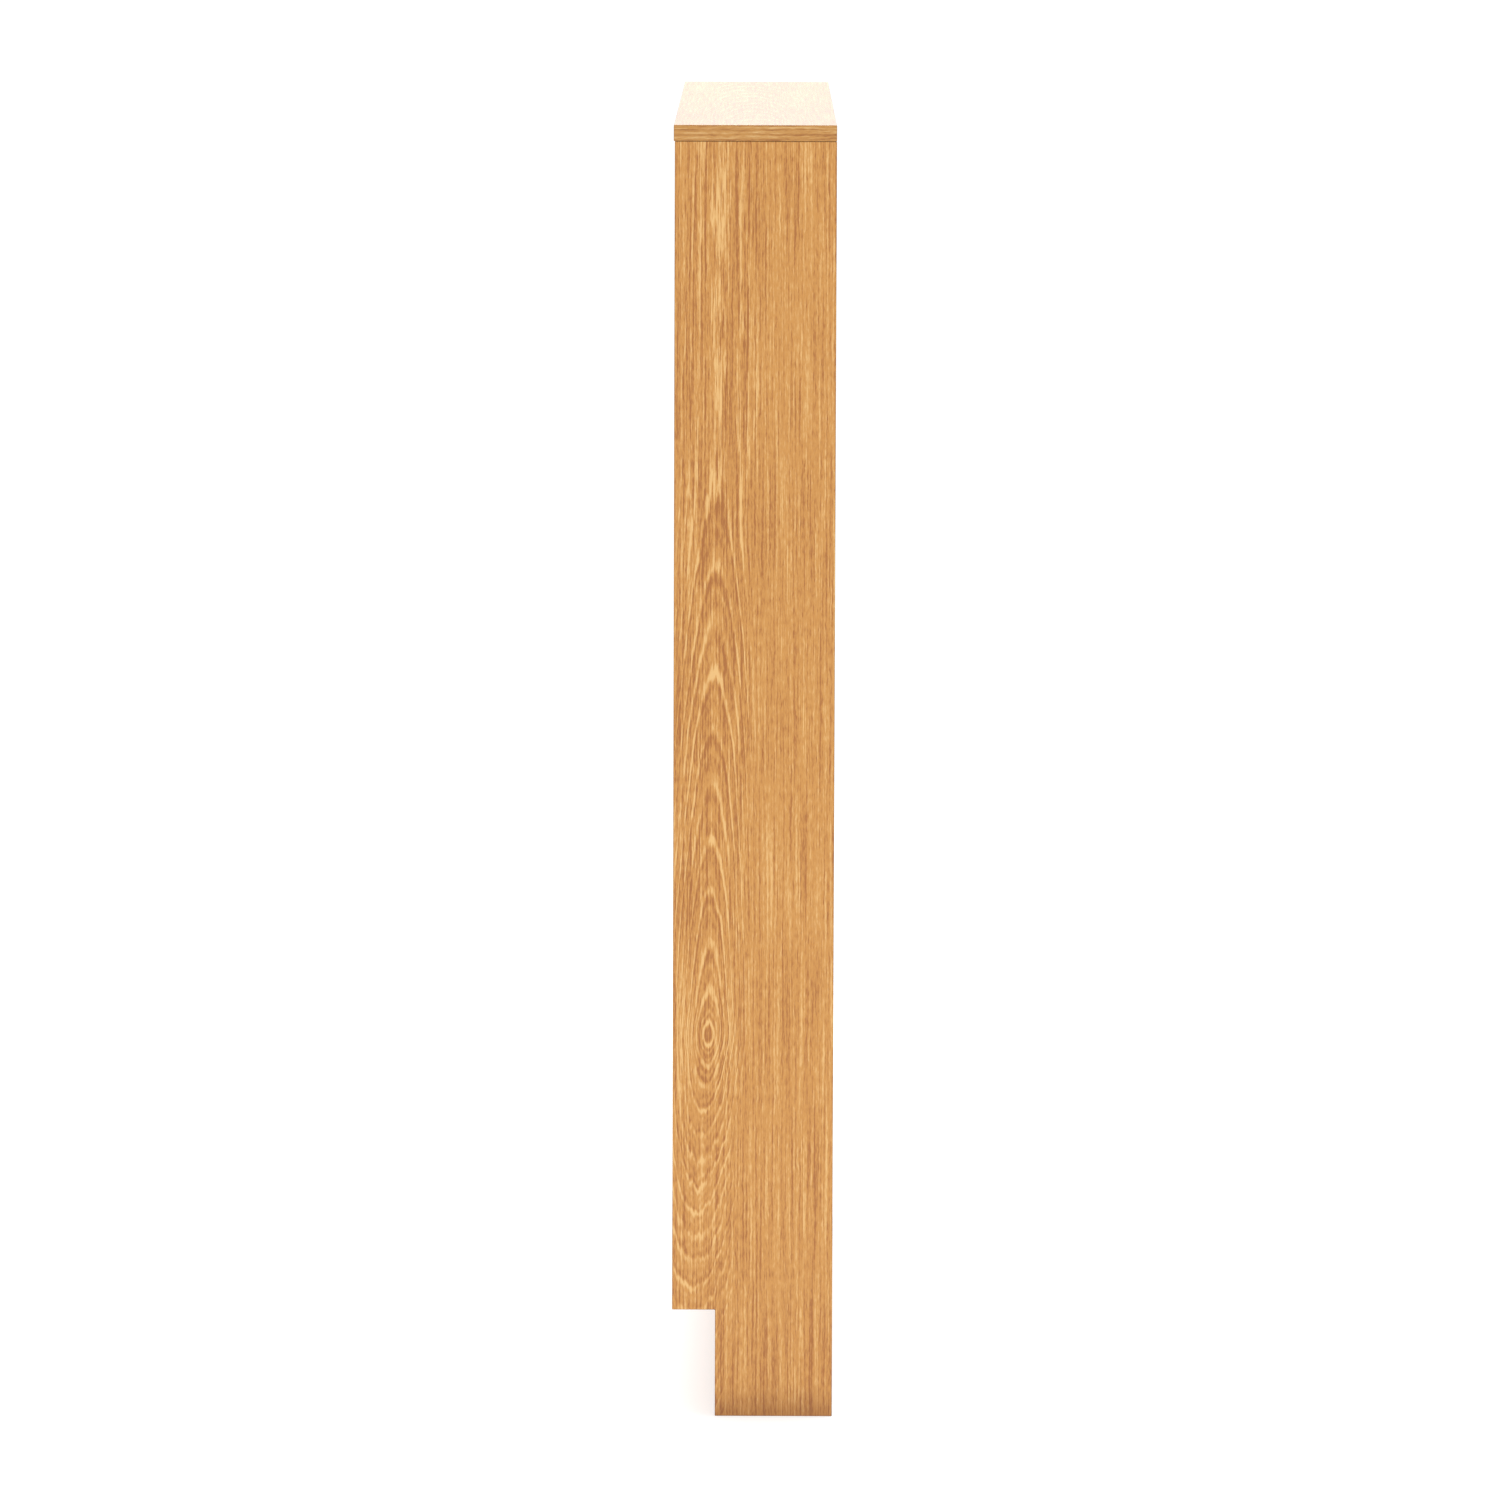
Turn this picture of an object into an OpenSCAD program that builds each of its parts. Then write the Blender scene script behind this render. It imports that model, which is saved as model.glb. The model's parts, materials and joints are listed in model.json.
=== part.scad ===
// Slim pantry cabinet: a two-bay carcass of plain boards, two sliding doors on rollers,
// a toe recess under the front, and a top board that lies on the side panels.
// Millimetres. +Z up, the front faces -Y, and the origin is on the floor under the middle.

/* [Cabinet] */
// Overall width
cabinet_w = 1200; // [1000:10:1400]
// Overall depth, over the top board
cabinet_d = 150; // [145:1:180]
// Overall height
cabinet_h = 1200; // [1100:10:1500]
// Thickness of every board and of both doors
board_t = 15; // [15:0.5:16]
// How far the top board stands out over the front edges
top_overhang = 1; // [0:0.5:5]

/* [Toe recess] */
// Height of the recess, floor to bottom board
kick_h = 100; // [60:5:120]
// Depth of the recess, from the front edges to the kick board
kick_setback = 40; // [30:1:45]
// Gap between the kick board and the floor
kick_gap = 2; // [1:1:4]

/* [Doors and tracks] */
// Overlap of the two closed doors
door_overlap = 24; // [10:1:40]
// Gap between a closed door and its side panel
door_end_gap = 2; // [1.8:0.1:4]
// Play on each side of a door's top edge in its channel
channel_play = 0.5; // [0.4:0.1:1]
// Wall thickness of both tracks
track_wall = 1.5; // [1.2:0.1:2]
// Height of the upper track
track_h = 16; // [14:1:20]
// How far a door's top edge stands in its channel
door_grip = 8; // [6:0.5:9]
// Distance from the front edges to the tracks
track_setback = 2; // [1:0.5:3]

/* [Rollers] */
// Radius of a wheel at the bottom of its groove
wheel_r = 8; // [7:0.5:9]
// Radius of a wheel's flanges
wheel_flange_r = 10; // [9.5:0.5:10.5]
// Width of a wheel
wheel_w = 5; // [4.6:0.1:5]
// Height of the rail ribs that the wheels run on
rib_h = 3.5; // [3:0.5:4]
// Width of the rail ribs
rib_w = 2; // [1.6:0.1:2.2]
// Distance from a door's end to its wheel
wheel_inset = 60; // [50:5:100]

/* [Door pulls] */
// Height of the pulls' middle above the floor
pull_z = 650; // [500:10:800]
// Length of a pull's flange
pull_l = 110; // [90:1:140]
// Width of a pull's flange
pull_w = 26; // [22:1:34]
// Depth of a pull's cup in the door
pull_depth = 10; // [7:0.5:11]

/* [Back and shelves] */
// Thickness of the back sheets
back_t = 3; // [2.5:0.5:4]
// Depth of the grooves that hold the back sheets
groove_depth = 5; // [3:0.5:6]
// Distance from the rear face to the grooves
groove_inset = 10; // [8:1:14]
// Height of the rails that the wall screws go through
rail_h = 60; // [55:1:90]
// Distance between the two wall screw holes
wall_hole_pitch = 600; // [400:10:700]
// Radius of the wall screw holes
wall_hole_r = 2.75; // [2:0.25:4]
// Gap at each end of a loose shelf
shelf_end_gap = 1; // [0.5:0.5:2]
// Step between the shelf pin holes
pin_step = 32; // [25:1:40]

/* [Hidden] */
$fn = 48;
// Facets of the small turned pieces, and the reach of a cut past a face
fine_fn = 32;
eps = 1;
// Pilot holes for the track screws, and where the outermost ones stand
pilot_r = 1.4;
upper_pilot_r = 1.5;
upper_screw_l = 12;
lower_screw_l = 11;
screw_inset = 45;

// Inner faces and edges of the carcass
half_w = cabinet_w / 2;
back_y = cabinet_d / 2;
front_y = -cabinet_d / 2 + top_overhang;
top_z = cabinet_h - board_t;
base_z = kick_h + board_t;
inner_x = half_w - board_t;
half_t = board_t / 2;

// Back sheets, joining strip and the space in front of them
groove_play = 0.1;
groove_w = back_t + 2 * groove_play;
groove_y = back_y - groove_inset - groove_w;
back_face_y = groove_y + groove_play;
joiner_t = 0.8;
joiner_w = 18;
rail_face_y = back_face_y - board_t;

// Tracks: lane 0 is the front one and lane 1 the rear one
door_t = board_t;
channel_w = door_t + 2 * channel_play;
lane_step = channel_w + track_wall;
track_w = 2 * lane_step + track_wall;
track_y = front_y + track_setback;
lane_y = [for (i = [0, 1]) track_y + track_wall + channel_w / 2 + i * lane_step];
rib_top_z = base_z + track_wall + rib_h;

// Doors
door_lift = 2;
door_w = inner_x - door_end_gap + door_overlap / 2;
door_z = rib_top_z + door_lift;
door_top_z = top_z - track_h + door_grip;
door_cx = inner_x - door_end_gap - door_w / 2;
pull_inset = 45;
pull_x = door_w / 2 - pull_inset;
pull_flange_t = 0.8;
pull_wall = 1;
pull_lip = 2;

// Rollers
run_gap = 0.3;
wheel_z = rib_top_z + run_gap + wheel_r;
wheel_x = door_w / 2 - wheel_inset;
wheel_groove_w = rib_w + 2 * run_gap;
wheel_hub = 0.1;
axle_r = 1.5;
axle_play = 0.05;
housing_w = 10;
housing_l = 34;
housing_slot_l = 2 * wheel_flange_r + 3;
housing_slot_w = 6;
housing_roof = 2.5;
housing_h = wheel_z + wheel_flange_r + 1.2 + housing_roof - door_z;
ear_l = 60;
ear_t = 1.5;
ear_screw_x = 24;

// Interior: everything behind the doors starts at inner_y
inner_y = track_y + track_w + 2.5;
inner_d = back_face_y - joiner_t - inner_y;
bay_w = inner_x - half_t;
bay_cx = half_t + bay_w / 2;
shelf_setback = 1;
mid_shelf_z = (base_z + top_z - board_t) / 2;
low_gap = (mid_shelf_z - base_z - 2 * board_t) / 3;
high_gap = (top_z - mid_shelf_z - 2 * board_t) / 2;
shelf_z = [
    base_z + low_gap,
    base_z + 2 * low_gap + board_t,
    mid_shelf_z + board_t + high_gap
];
pin_r = 2.5;
pin_in = 7;
pin_out = 8;
pin_y = [inner_y + 21, back_face_y - 20];

// Knock-down joints: a cam lock in one board draws in a bolt screwed into the other
cam_r = 7.5;
cam_play = 0.1;
cam_depth = 12;
cam_reach = 24;
bolt_head_r = 3.2;
bolt_neck_r = 2;
bolt_neck_l = 8;
bolt_thread_r = 2.5;
bolt_thread_l = 11;
bolt_bore_r = 3.5;
bolt_play = 0.05;
cover_r = 8.5;
cover_t = 1;
cam_y = [-5, 35];
dowel_r = 4;
dowel_y = 15;
dowel_in = 20;
dowel_out = 10;
support_dowel_y = [25, 50];
kick_y = front_y + kick_setback;
rail_cam_z = top_z - 45;
rail_dowel_z = top_z - 15;
rail_cy = rail_face_y + half_t;
wall_hole_z = top_z - rail_h / 2;

// Each joint: where the cam's open face is centred, and how it is turned.
// Unturned, the cam opens towards +Z and its bolt leaves along +X.
to_right = [180, 0, 0];
to_left = [0, 180, 0];
side_top_cams = [
    for (y = cam_y) [[inner_x, y, top_z - cam_reach], [0, -90, 0]],
    for (y = cam_y) [[-inner_x, y, top_z - cam_reach], [0, -90, 180]]
];
partition_top_cams = [for (y = cam_y) [[-half_t, y, top_z - cam_reach], [0, -90, 0]]];
partition_low_cams = [for (y = cam_y) [[-half_t, y, base_z + cam_reach], [0, 90, 180]]];
bottom_cams = [
    for (y = cam_y) [[inner_x - cam_reach, y, kick_h], to_right],
    for (y = cam_y) [[-inner_x + cam_reach, y, kick_h], to_left]
];
shelf_outer_cams = [
    for (y = cam_y) [[inner_x - cam_reach, y, mid_shelf_z], to_right],
    for (y = cam_y) [[-inner_x + cam_reach, y, mid_shelf_z], to_left]
];
shelf_inner_cams = [
    for (y = cam_y) [[-half_t - cam_reach, y, mid_shelf_z], to_right],
    for (y = cam_y) [[half_t + cam_reach, y, mid_shelf_z], to_left]
];
kick_cams = [
    [[inner_x - cam_reach, kick_y + board_t, kick_h / 2], [-90, 0, 0]],
    [[-inner_x + cam_reach, kick_y + board_t, kick_h / 2], [90, 0, 180]]
];
rail_outer_cams = [
    [[inner_x - cam_reach, rail_face_y, rail_cam_z], [90, 0, 0]],
    [[-inner_x + cam_reach, rail_face_y, rail_cam_z], [-90, 0, 180]]
];
rail_inner_cams = [
    [[-half_t - cam_reach, rail_face_y, rail_cam_z], [90, 0, 0]],
    [[half_t + cam_reach, rail_face_y, rail_cam_z], [-90, 0, 180]]
];
open_cams = concat(side_top_cams, partition_top_cams, partition_low_cams,
    shelf_outer_cams, shelf_inner_cams, rail_outer_cams, rail_inner_cams);
single_cams = concat(side_top_cams, partition_top_cams, partition_low_cams,
    bottom_cams, shelf_outer_cams, kick_cams, rail_outer_cams);
double_cams = [for (i = [0, 1]) shelf_inner_cams[i], rail_inner_cams[0]];
all_cams = concat(open_cams, bottom_cams, kick_cams);

// Each dowel: its middle on the joint plane, and how it is turned.
// Unturned, it stands dowel_in into the board below and dowel_out into the board above.
dowels = [
    for (s = [-1, 1]) [[s * (half_w - half_t), dowel_y, top_z], [0, 0, 0]],
    [[0, dowel_y, top_z], [0, 0, 0]],
    [[0, dowel_y, base_z], [180, 0, 0]],
    for (s = [-1, 1]) [[s * inner_x, dowel_y, kick_h + half_t], [0, s * 90, 0]],
    for (s = [-1, 1]) [[s * inner_x, rail_cy, rail_dowel_z], [0, s * 90, 0]],
    for (y = support_dowel_y) [[0, y, kick_h], [0, 0, 0]],
    [[0, kick_y + board_t, kick_h / 2], [90, 0, 0]]
];

upper_screw_x = [for (s = [-1, 0, 1]) s * (inner_x - screw_inset)];
lower_screw_x = [for (s = [-1, -1 / 3, 1 / 3, 1]) s * (inner_x - 2 * screw_inset)];
bumper_inset = 140;
bumper_z = [base_z + bumper_inset, top_z - bumper_inset];
bumper_r = 4;
bumper_t = door_end_gap - 0.4;

oak = "burlywood";

// ---------- shared shapes ----------

// A block given by its low corner and its high corner
module block(low, high) {
    translate(low) cube(high - low);
}

// A cylinder whose axis runs along +X from the origin
module rod_x(r, l) {
    rotate([0, 90, 0]) cylinder(r = r, h = l, $fn = fine_fn);
}

// Cross recess of a driver, cut downwards from the origin
module driver_cross(l, depth) {
    w = l / 4;
    for (turn = [0, 90]) {
        rotate(turn) translate([-l / 2, -w / 2, -depth]) cube([l, w, depth + eps]);
    }
}

// A slot with round ends: length along Z, width along X, reaching h towards +Y
module slot_y(l, w, h) {
    rotate([-90, 0, 0]) linear_extrude(h) {
        square([w, l - w], center = true);
        for (s = [-1, 1]) translate([0, s * (l - w) / 2]) circle(d = w);
    }
}

module at_sites(sites) {
    for (site = sites) translate(site[0]) rotate(site[1]) children();
}

// Everything that one cam joint removes from its two boards
module cam_joint_cut() {
    translate([0, 0, -cam_depth]) cylinder(r = cam_r, h = cam_depth + eps);
    translate([0, 0, -half_t]) {
        rod_x(bolt_bore_r, cam_reach);
        rod_x(bolt_thread_r + bolt_play, cam_reach + bolt_thread_l);
    }
}

// The round bar of a cam bolt from its head up to the joint plane
module bolt_shank() {
    translate([-1, 0, -half_t]) rod_x(bolt_head_r, 2);
    translate([0, 0, -half_t]) rod_x(bolt_neck_r, cam_reach);
    translate([bolt_neck_l, 0, -half_t]) rod_x(bolt_head_r, cam_reach - bolt_neck_l);
}

// A plain dowel, or with play > 0 the hole for it
module dowel_bar(play = 0) {
    translate([0, 0, -dowel_in - play])
        cylinder(r = dowel_r, h = dowel_in + dowel_out + 2 * play, $fn = fine_fn);
}

module dowel_holes() {
    at_sites(dowels) dowel_bar(0.5);
}

// A wood screw with a countersunk head: flat face at the origin, point towards +Z
module flat_screw(head_r, head_h, shank_r, l, cross = true) {
    difference() {
        union() {
            cylinder(r1 = head_r, r2 = shank_r, h = head_h, $fn = fine_fn);
            cylinder(r = shank_r, h = l, $fn = fine_fn);
        }
        if (cross) mirror([0, 0, 1]) driver_cross(head_r * 1.2, head_h / 2);
    }
}

// A wood screw with a round-edged head hanging under the origin, point towards +Z
module pan_screw(head_r, head_h, shank_r, l) {
    difference() {
        union() {
            translate([0, 0, -head_h]) cylinder(r = head_r, h = head_h, $fn = fine_fn);
            cylinder(r = shank_r, h = l, $fn = fine_fn);
        }
        translate([0, 0, -head_h]) mirror([0, 0, 1]) driver_cross(head_r * 1.2, head_h / 2);
    }
}

// Blind pin holes in the face at x, drilled towards the given side
module pin_holes(x, side) {
    for (z = shelf_z, step = [-1, 0, 1], y = pin_y)
        translate([x, y, z - pin_r + step * pin_step])
            mirror([side < 0 ? 1 : 0, 0, 0]) translate([-eps, 0, 0]) rod_x(pin_r, pin_in + eps);
}

module back_groove() {
    block([-inner_x - groove_depth, groove_y, base_z - groove_depth],
        [inner_x + groove_depth, groove_y + groove_w, top_z + groove_depth]);
}

// ---------- carcass boards ----------

// A side panel with the toe recess cut out of its lower front corner
module side_panel(side) {
    color(oak) difference() {
        translate([side > 0 ? inner_x : -half_w, 0, 0]) rotate([90, 0, 90])
            linear_extrude(board_t) polygon([
                [kick_y, 0], [back_y, 0], [back_y, top_z],
                [front_y, top_z], [front_y, kick_h], [kick_y, kick_h]
            ]);
        back_groove();
        pin_holes(side * inner_x, side);
        at_sites(concat(side_top_cams, bottom_cams, shelf_outer_cams,
            kick_cams, rail_outer_cams)) cam_joint_cut();
        dowel_holes();
    }
}

module side_panel_left() { side_panel(-1); }
module side_panel_right() { side_panel(1); }

module top_board() {
    color(oak) difference() {
        block([-half_w, -back_y, top_z], [half_w, back_y, cabinet_h]);
        back_groove();
        at_sites(concat(side_top_cams, partition_top_cams)) cam_joint_cut();
        dowel_holes();
        upper_screw_sites() cylinder(r = upper_pilot_r, h = upper_screw_l, $fn = fine_fn);
    }
}

module bottom_board() {
    color(oak) difference() {
        block([-inner_x, front_y, kick_h], [inner_x, back_y, base_z]);
        back_groove();
        at_sites(concat(bottom_cams, partition_low_cams)) cam_joint_cut();
        dowel_holes();
        lower_screw_sites() cylinder(r = pilot_r, h = lower_screw_l, $fn = fine_fn);
    }
}

module centre_partition() {
    color(oak) difference() {
        block([-half_t, inner_y, base_z], [half_t, inner_y + inner_d, top_z]);
        pin_holes(half_t, -1);
        pin_holes(-half_t, 1);
        at_sites(concat(partition_top_cams, partition_low_cams,
            shelf_inner_cams, rail_inner_cams)) cam_joint_cut();
        dowel_holes();
    }
}

module kick_board() {
    color(oak) difference() {
        block([-inner_x, kick_y, kick_gap], [inner_x, kick_y + board_t, kick_h]);
        at_sites(kick_cams) cam_joint_cut();
        dowel_holes();
    }
}

module centre_support() {
    color(oak) difference() {
        block([-half_t, kick_y + board_t, 0], [half_t, inner_y + inner_d, kick_h]);
        dowel_holes();
    }
}

module fixed_shelf(side) {
    color(oak) difference() {
        translate([side * bay_cx - bay_w / 2, inner_y, mid_shelf_z])
            cube([bay_w, inner_d, board_t]);
        at_sites(concat(shelf_outer_cams, shelf_inner_cams)) cam_joint_cut();
    }
}

module fixed_shelf_left() { fixed_shelf(-1); }
module fixed_shelf_right() { fixed_shelf(1); }

module loose_shelf(side, level) {
    w = bay_w - 2 * shelf_end_gap;
    color(oak) translate([side * bay_cx - w / 2, inner_y + shelf_setback, shelf_z[level]])
        cube([w, back_face_y - inner_y - 2 * shelf_setback, board_t]);
}

module shelf_left_low() { loose_shelf(-1, 0); }
module shelf_left_mid() { loose_shelf(-1, 1); }
module shelf_left_high() { loose_shelf(-1, 2); }
module shelf_right_low() { loose_shelf(1, 0); }
module shelf_right_mid() { loose_shelf(1, 1); }
module shelf_right_high() { loose_shelf(1, 2); }

// Four pins under each loose shelf
module shelf_pins() {
    color("silver") for (z = shelf_z, y = pin_y, side = [-1, 1]) {
        translate([side * (inner_x - pin_out), y, z - pin_r])
            mirror([side < 0 ? 1 : 0, 0, 0]) rod_x(pin_r, pin_in + pin_out);
        translate([side * (half_t - pin_in), y, z - pin_r])
            mirror([side < 0 ? 1 : 0, 0, 0]) rod_x(pin_r, pin_in + pin_out);
    }
}

// ---------- back ----------

module wall_holes() {
    for (s = [-1, 1])
        translate([s * wall_hole_pitch / 2, rail_face_y - eps, wall_hole_z])
            rotate([-90, 0, 0]) cylinder(r = wall_hole_r, h = board_t + back_t + 2 * eps);
}

module back_sheet(side) {
    edge = 0.5;
    reach = inner_x + groove_depth - groove_play;
    color("wheat") difference() {
        translate([side > 0 ? edge : -reach, back_face_y, base_z - groove_depth + groove_play])
            cube([reach - edge, back_t, top_z - base_z + 2 * (groove_depth - groove_play)]);
        wall_holes();
    }
}

module back_sheet_left() { back_sheet(-1); }
module back_sheet_right() { back_sheet(1); }

// H-shaped strip that joins the two back sheets behind the partition
module back_joiner() {
    web = 0.8;
    color("ivory") translate([0, back_face_y, base_z]) linear_extrude(top_z - base_z) {
        translate([-web / 2, -joiner_t]) square([web, back_t + 2 * joiner_t]);
        for (y = [-joiner_t, back_t]) translate([-joiner_w / 2, y]) square([joiner_w, joiner_t]);
    }
}

// Rail under the top board that the wall screws pass through
module wall_rail(side) {
    color(oak) difference() {
        translate([side * bay_cx - bay_w / 2, rail_face_y, top_z - rail_h])
            cube([bay_w, board_t, rail_h]);
        translate([0, rail_face_y, 0])
            block([-joiner_w / 2, board_t - joiner_t, top_z - rail_h - eps],
                [joiner_w / 2, board_t + eps, top_z + eps]);
        wall_holes();
        at_sites(concat(rail_outer_cams, rail_inner_cams)) cam_joint_cut();
        dowel_holes();
    }
}

module wall_rail_left() { wall_rail(-1); }
module wall_rail_right() { wall_rail(1); }

// ---------- tracks ----------

module upper_screw_sites() {
    for (x = upper_screw_x, y = lane_y) translate([x, y, top_z - track_wall]) children();
}

module lower_screw_sites() {
    for (x = lower_screw_x) translate([x, (lane_y[0] + lane_y[1]) / 2, base_z + track_wall])
        mirror([0, 0, 1]) children();
}

// Two channels, open downwards, that keep the doors' top edges upright
module upper_track() {
    color("tan") difference() {
        translate([-inner_x, 0, top_z - track_h]) rotate([90, 0, 90])
            linear_extrude(2 * inner_x) {
                translate([track_y, track_h - track_wall]) square([track_w, track_wall]);
                for (i = [0, 1, 2])
                    translate([track_y + i * lane_step, 0]) square([track_wall, track_h]);
            }
        upper_screw_sites() translate([0, 0, -eps])
            cylinder(r = upper_pilot_r, h = track_wall + 2 * eps, $fn = fine_fn);
    }
}

// A flat rail with one round-topped rib under each door
module lower_track() {
    color("silver") difference() {
        translate([-inner_x, 0, base_z]) rotate([90, 0, 90]) linear_extrude(2 * inner_x) {
            translate([track_y, 0]) square([track_w, track_wall]);
            for (y = lane_y) {
                translate([y - rib_w / 2, 0]) square([rib_w, track_wall + rib_h - rib_w / 2]);
                translate([y, track_wall + rib_h - rib_w / 2]) circle(d = rib_w, $fn = fine_fn);
            }
        }
        lower_screw_sites() flat_screw(2.6, track_wall, pilot_r, 4, cross = false);
    }
}

module upper_track_screws() {
    color("silver") upper_screw_sites() pan_screw(2.75, 1.5, upper_pilot_r, upper_screw_l);
}

module lower_track_screws() {
    color("silver") lower_screw_sites() flat_screw(2.6, track_wall, pilot_r, lower_screw_l);
}

// Soft buttons that stop the doors at both ends of both lanes
module door_bumpers() {
    color("gainsboro") for (side = [-1, 1], y = lane_y, z = bumper_z)
        translate([side * inner_x, y, z]) mirror([side > 0 ? 1 : 0, 0, 0])
            rod_x(bumper_r, bumper_t);
}

// ---------- joint hardware ----------

module cam_locks() {
    color("darkgray") at_sites(all_cams) difference() {
        translate([0, 0, -cam_depth]) cylinder(r = cam_r - cam_play, h = cam_depth);
        translate([-2, 0, -half_t]) rod_x(bolt_head_r + 0.2, cam_r + 3);
        driver_cross(9, 2);
    }
}

module cam_bolts() {
    color("silver") at_sites(single_cams) {
        bolt_shank();
        translate([cam_reach - 1, 0, -half_t]) rod_x(bolt_thread_r, bolt_thread_l + 1);
    }
}

// Bolts with a head at both ends, through the partition from one bay to the other
module double_cam_bolts() {
    color("silver") at_sites(double_cams) {
        bolt_shank();
        translate([cam_reach - 1, 0, -half_t]) rod_x(bolt_thread_r, board_t + 2);
        translate([2 * cam_reach + board_t, 0, 0]) mirror([1, 0, 0]) bolt_shank();
    }
}

module cam_covers() {
    color("wheat") at_sites(open_cams) cylinder(r = cover_r, h = cover_t);
}

module wood_dowels() {
    color("navajowhite") at_sites(dowels) dowel_bar();
}

// ---------- doors: side is +1 for the right door and -1 for the left one ----------

// The right door runs in the front lane and the left door in the rear lane
function lane_of(side) = side > 0 ? lane_y[0] : lane_y[1];

// Housing of one roller: a box with two ears, let into the door's bottom edge
module housing_shape() {
    block([-housing_l / 2, -housing_w / 2, 0], [housing_l / 2, housing_w / 2, housing_h]);
    block([-ear_l / 2, -housing_w / 2, 0], [ear_l / 2, housing_w / 2, ear_t]);
}

module at_rollers(side) {
    for (s = [-1, 1])
        translate([side * door_cx + s * wheel_x, lane_of(side), door_z]) children();
}

module ear_screws(cross) {
    for (s = [-1, 1]) translate([s * ear_screw_x, 0, 0]) flat_screw(2.8, ear_t, pilot_r, 14, cross);
}

module door_panel(side) {
    color(oak) difference() {
        translate([side * door_cx - door_w / 2, lane_of(side) - door_t / 2, door_z])
            cube([door_w, door_t, door_top_z - door_z]);
        at_rollers(side) {
            translate([0, 0, -eps]) block([-housing_l / 2, -housing_w / 2, 0],
                [housing_l / 2, housing_w / 2, housing_h + eps]);
            translate([0, 0, -eps]) block([-ear_l / 2, -housing_w / 2, 0],
                [ear_l / 2, housing_w / 2, ear_t + eps]);
            ear_screws(false);
        }
        at_pull(side) translate([0, -eps, 0])
            slot_y(pull_l - 2 * pull_lip, pull_w - 2 * pull_lip, pull_depth + eps);
    }
}

module at_pull(side) {
    translate([side * (door_cx + pull_x), lane_of(side) - door_t / 2, pull_z]) children();
}

// A shell with a thin flange, let into the door so that fingers can push it aside
module door_pull(side) {
    cup_l = pull_l - 2 * pull_lip;
    cup_w = pull_w - 2 * pull_lip;
    color("dimgray") at_pull(side) difference() {
        union() {
            translate([0, -pull_flange_t, 0]) slot_y(pull_l, pull_w, pull_flange_t);
            slot_y(cup_l, cup_w, pull_depth);
        }
        translate([0, -pull_flange_t - eps, 0])
            slot_y(cup_l - 2 * pull_wall, cup_w - 2 * pull_wall,
                pull_flange_t + eps + pull_depth - pull_wall);
    }
}

module roller_housings(side) {
    color("dimgray") at_rollers(side) difference() {
        housing_shape();
        translate([0, 0, -eps])
            block([-housing_slot_l / 2, -housing_slot_w / 2, 0],
                [housing_slot_l / 2, housing_slot_w / 2, housing_h + eps - housing_roof]);
        translate([0, -housing_w / 2 - eps, wheel_z - door_z]) rotate([-90, 0, 0])
            cylinder(r = axle_r, h = housing_w + 2 * eps, $fn = fine_fn);
        ear_screws(false);
    }
}

module roller_pins(side) {
    color("silver") at_rollers(side)
        translate([0, -housing_w / 2, wheel_z - door_z]) rotate([-90, 0, 0])
            cylinder(r = axle_r, h = housing_w, $fn = fine_fn);
}

module roller_screws(side) {
    color("silver") at_rollers(side) ear_screws(true);
}

// A grooved wheel on its pin; end is +1 for the one nearer the side panel
module door_wheel(side, end) {
    half = wheel_w / 2;
    groove = wheel_groove_w / 2;
    color("white") translate([side * (door_cx + end * wheel_x), lane_of(side), wheel_z])
        rotate([90, 0, 0]) rotate_extrude() polygon([
            [axle_r + axle_play, -half - wheel_hub], [wheel_r / 2, -half - wheel_hub],
            [wheel_r / 2, -half], [wheel_flange_r, -half], [wheel_flange_r, -half + 0.4],
            [wheel_r, -groove], [wheel_r, groove],
            [wheel_flange_r, half - 0.4], [wheel_flange_r, half],
            [wheel_r / 2, half], [wheel_r / 2, half + wheel_hub],
            [axle_r + axle_play, half + wheel_hub]
        ]);
}

module right_door_panel() { door_panel(1); }
module right_door_pull() { door_pull(1); }
module right_roller_housings() { roller_housings(1); }
module right_roller_pins() { roller_pins(1); }
module right_roller_screws() { roller_screws(1); }
module left_door_panel() { door_panel(-1); }
module left_door_pull() { door_pull(-1); }
module left_roller_housings() { roller_housings(-1); }
module left_roller_pins() { roller_pins(-1); }
module left_roller_screws() { roller_screws(-1); }
module right_door_wheel_inner() { door_wheel(1, -1); }
module right_door_wheel_outer() { door_wheel(1, 1); }
module left_door_wheel_inner() { door_wheel(-1, -1); }
module left_door_wheel_outer() { door_wheel(-1, 1); }

side_panel_left();
side_panel_right();
top_board();
bottom_board();
centre_partition();
kick_board();
centre_support();
fixed_shelf_left();
fixed_shelf_right();
shelf_left_low();
shelf_left_mid();
shelf_left_high();
shelf_right_low();
shelf_right_mid();
shelf_right_high();
shelf_pins();
back_sheet_left();
back_sheet_right();
back_joiner();
wall_rail_left();
wall_rail_right();
upper_track();
lower_track();
upper_track_screws();
lower_track_screws();
cam_locks();
cam_bolts();
double_cam_bolts();
cam_covers();
wood_dowels();
door_bumpers();
right_door_panel();
right_door_pull();
right_roller_housings();
right_roller_pins();
right_roller_screws();
left_door_panel();
left_door_pull();
left_roller_housings();
left_roller_pins();
left_roller_screws();
right_door_wheel_inner();
right_door_wheel_outer();
left_door_wheel_inner();
left_door_wheel_outer();
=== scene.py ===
import json
import math

import bmesh
import bpy
from mathutils import Matrix, Vector


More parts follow.
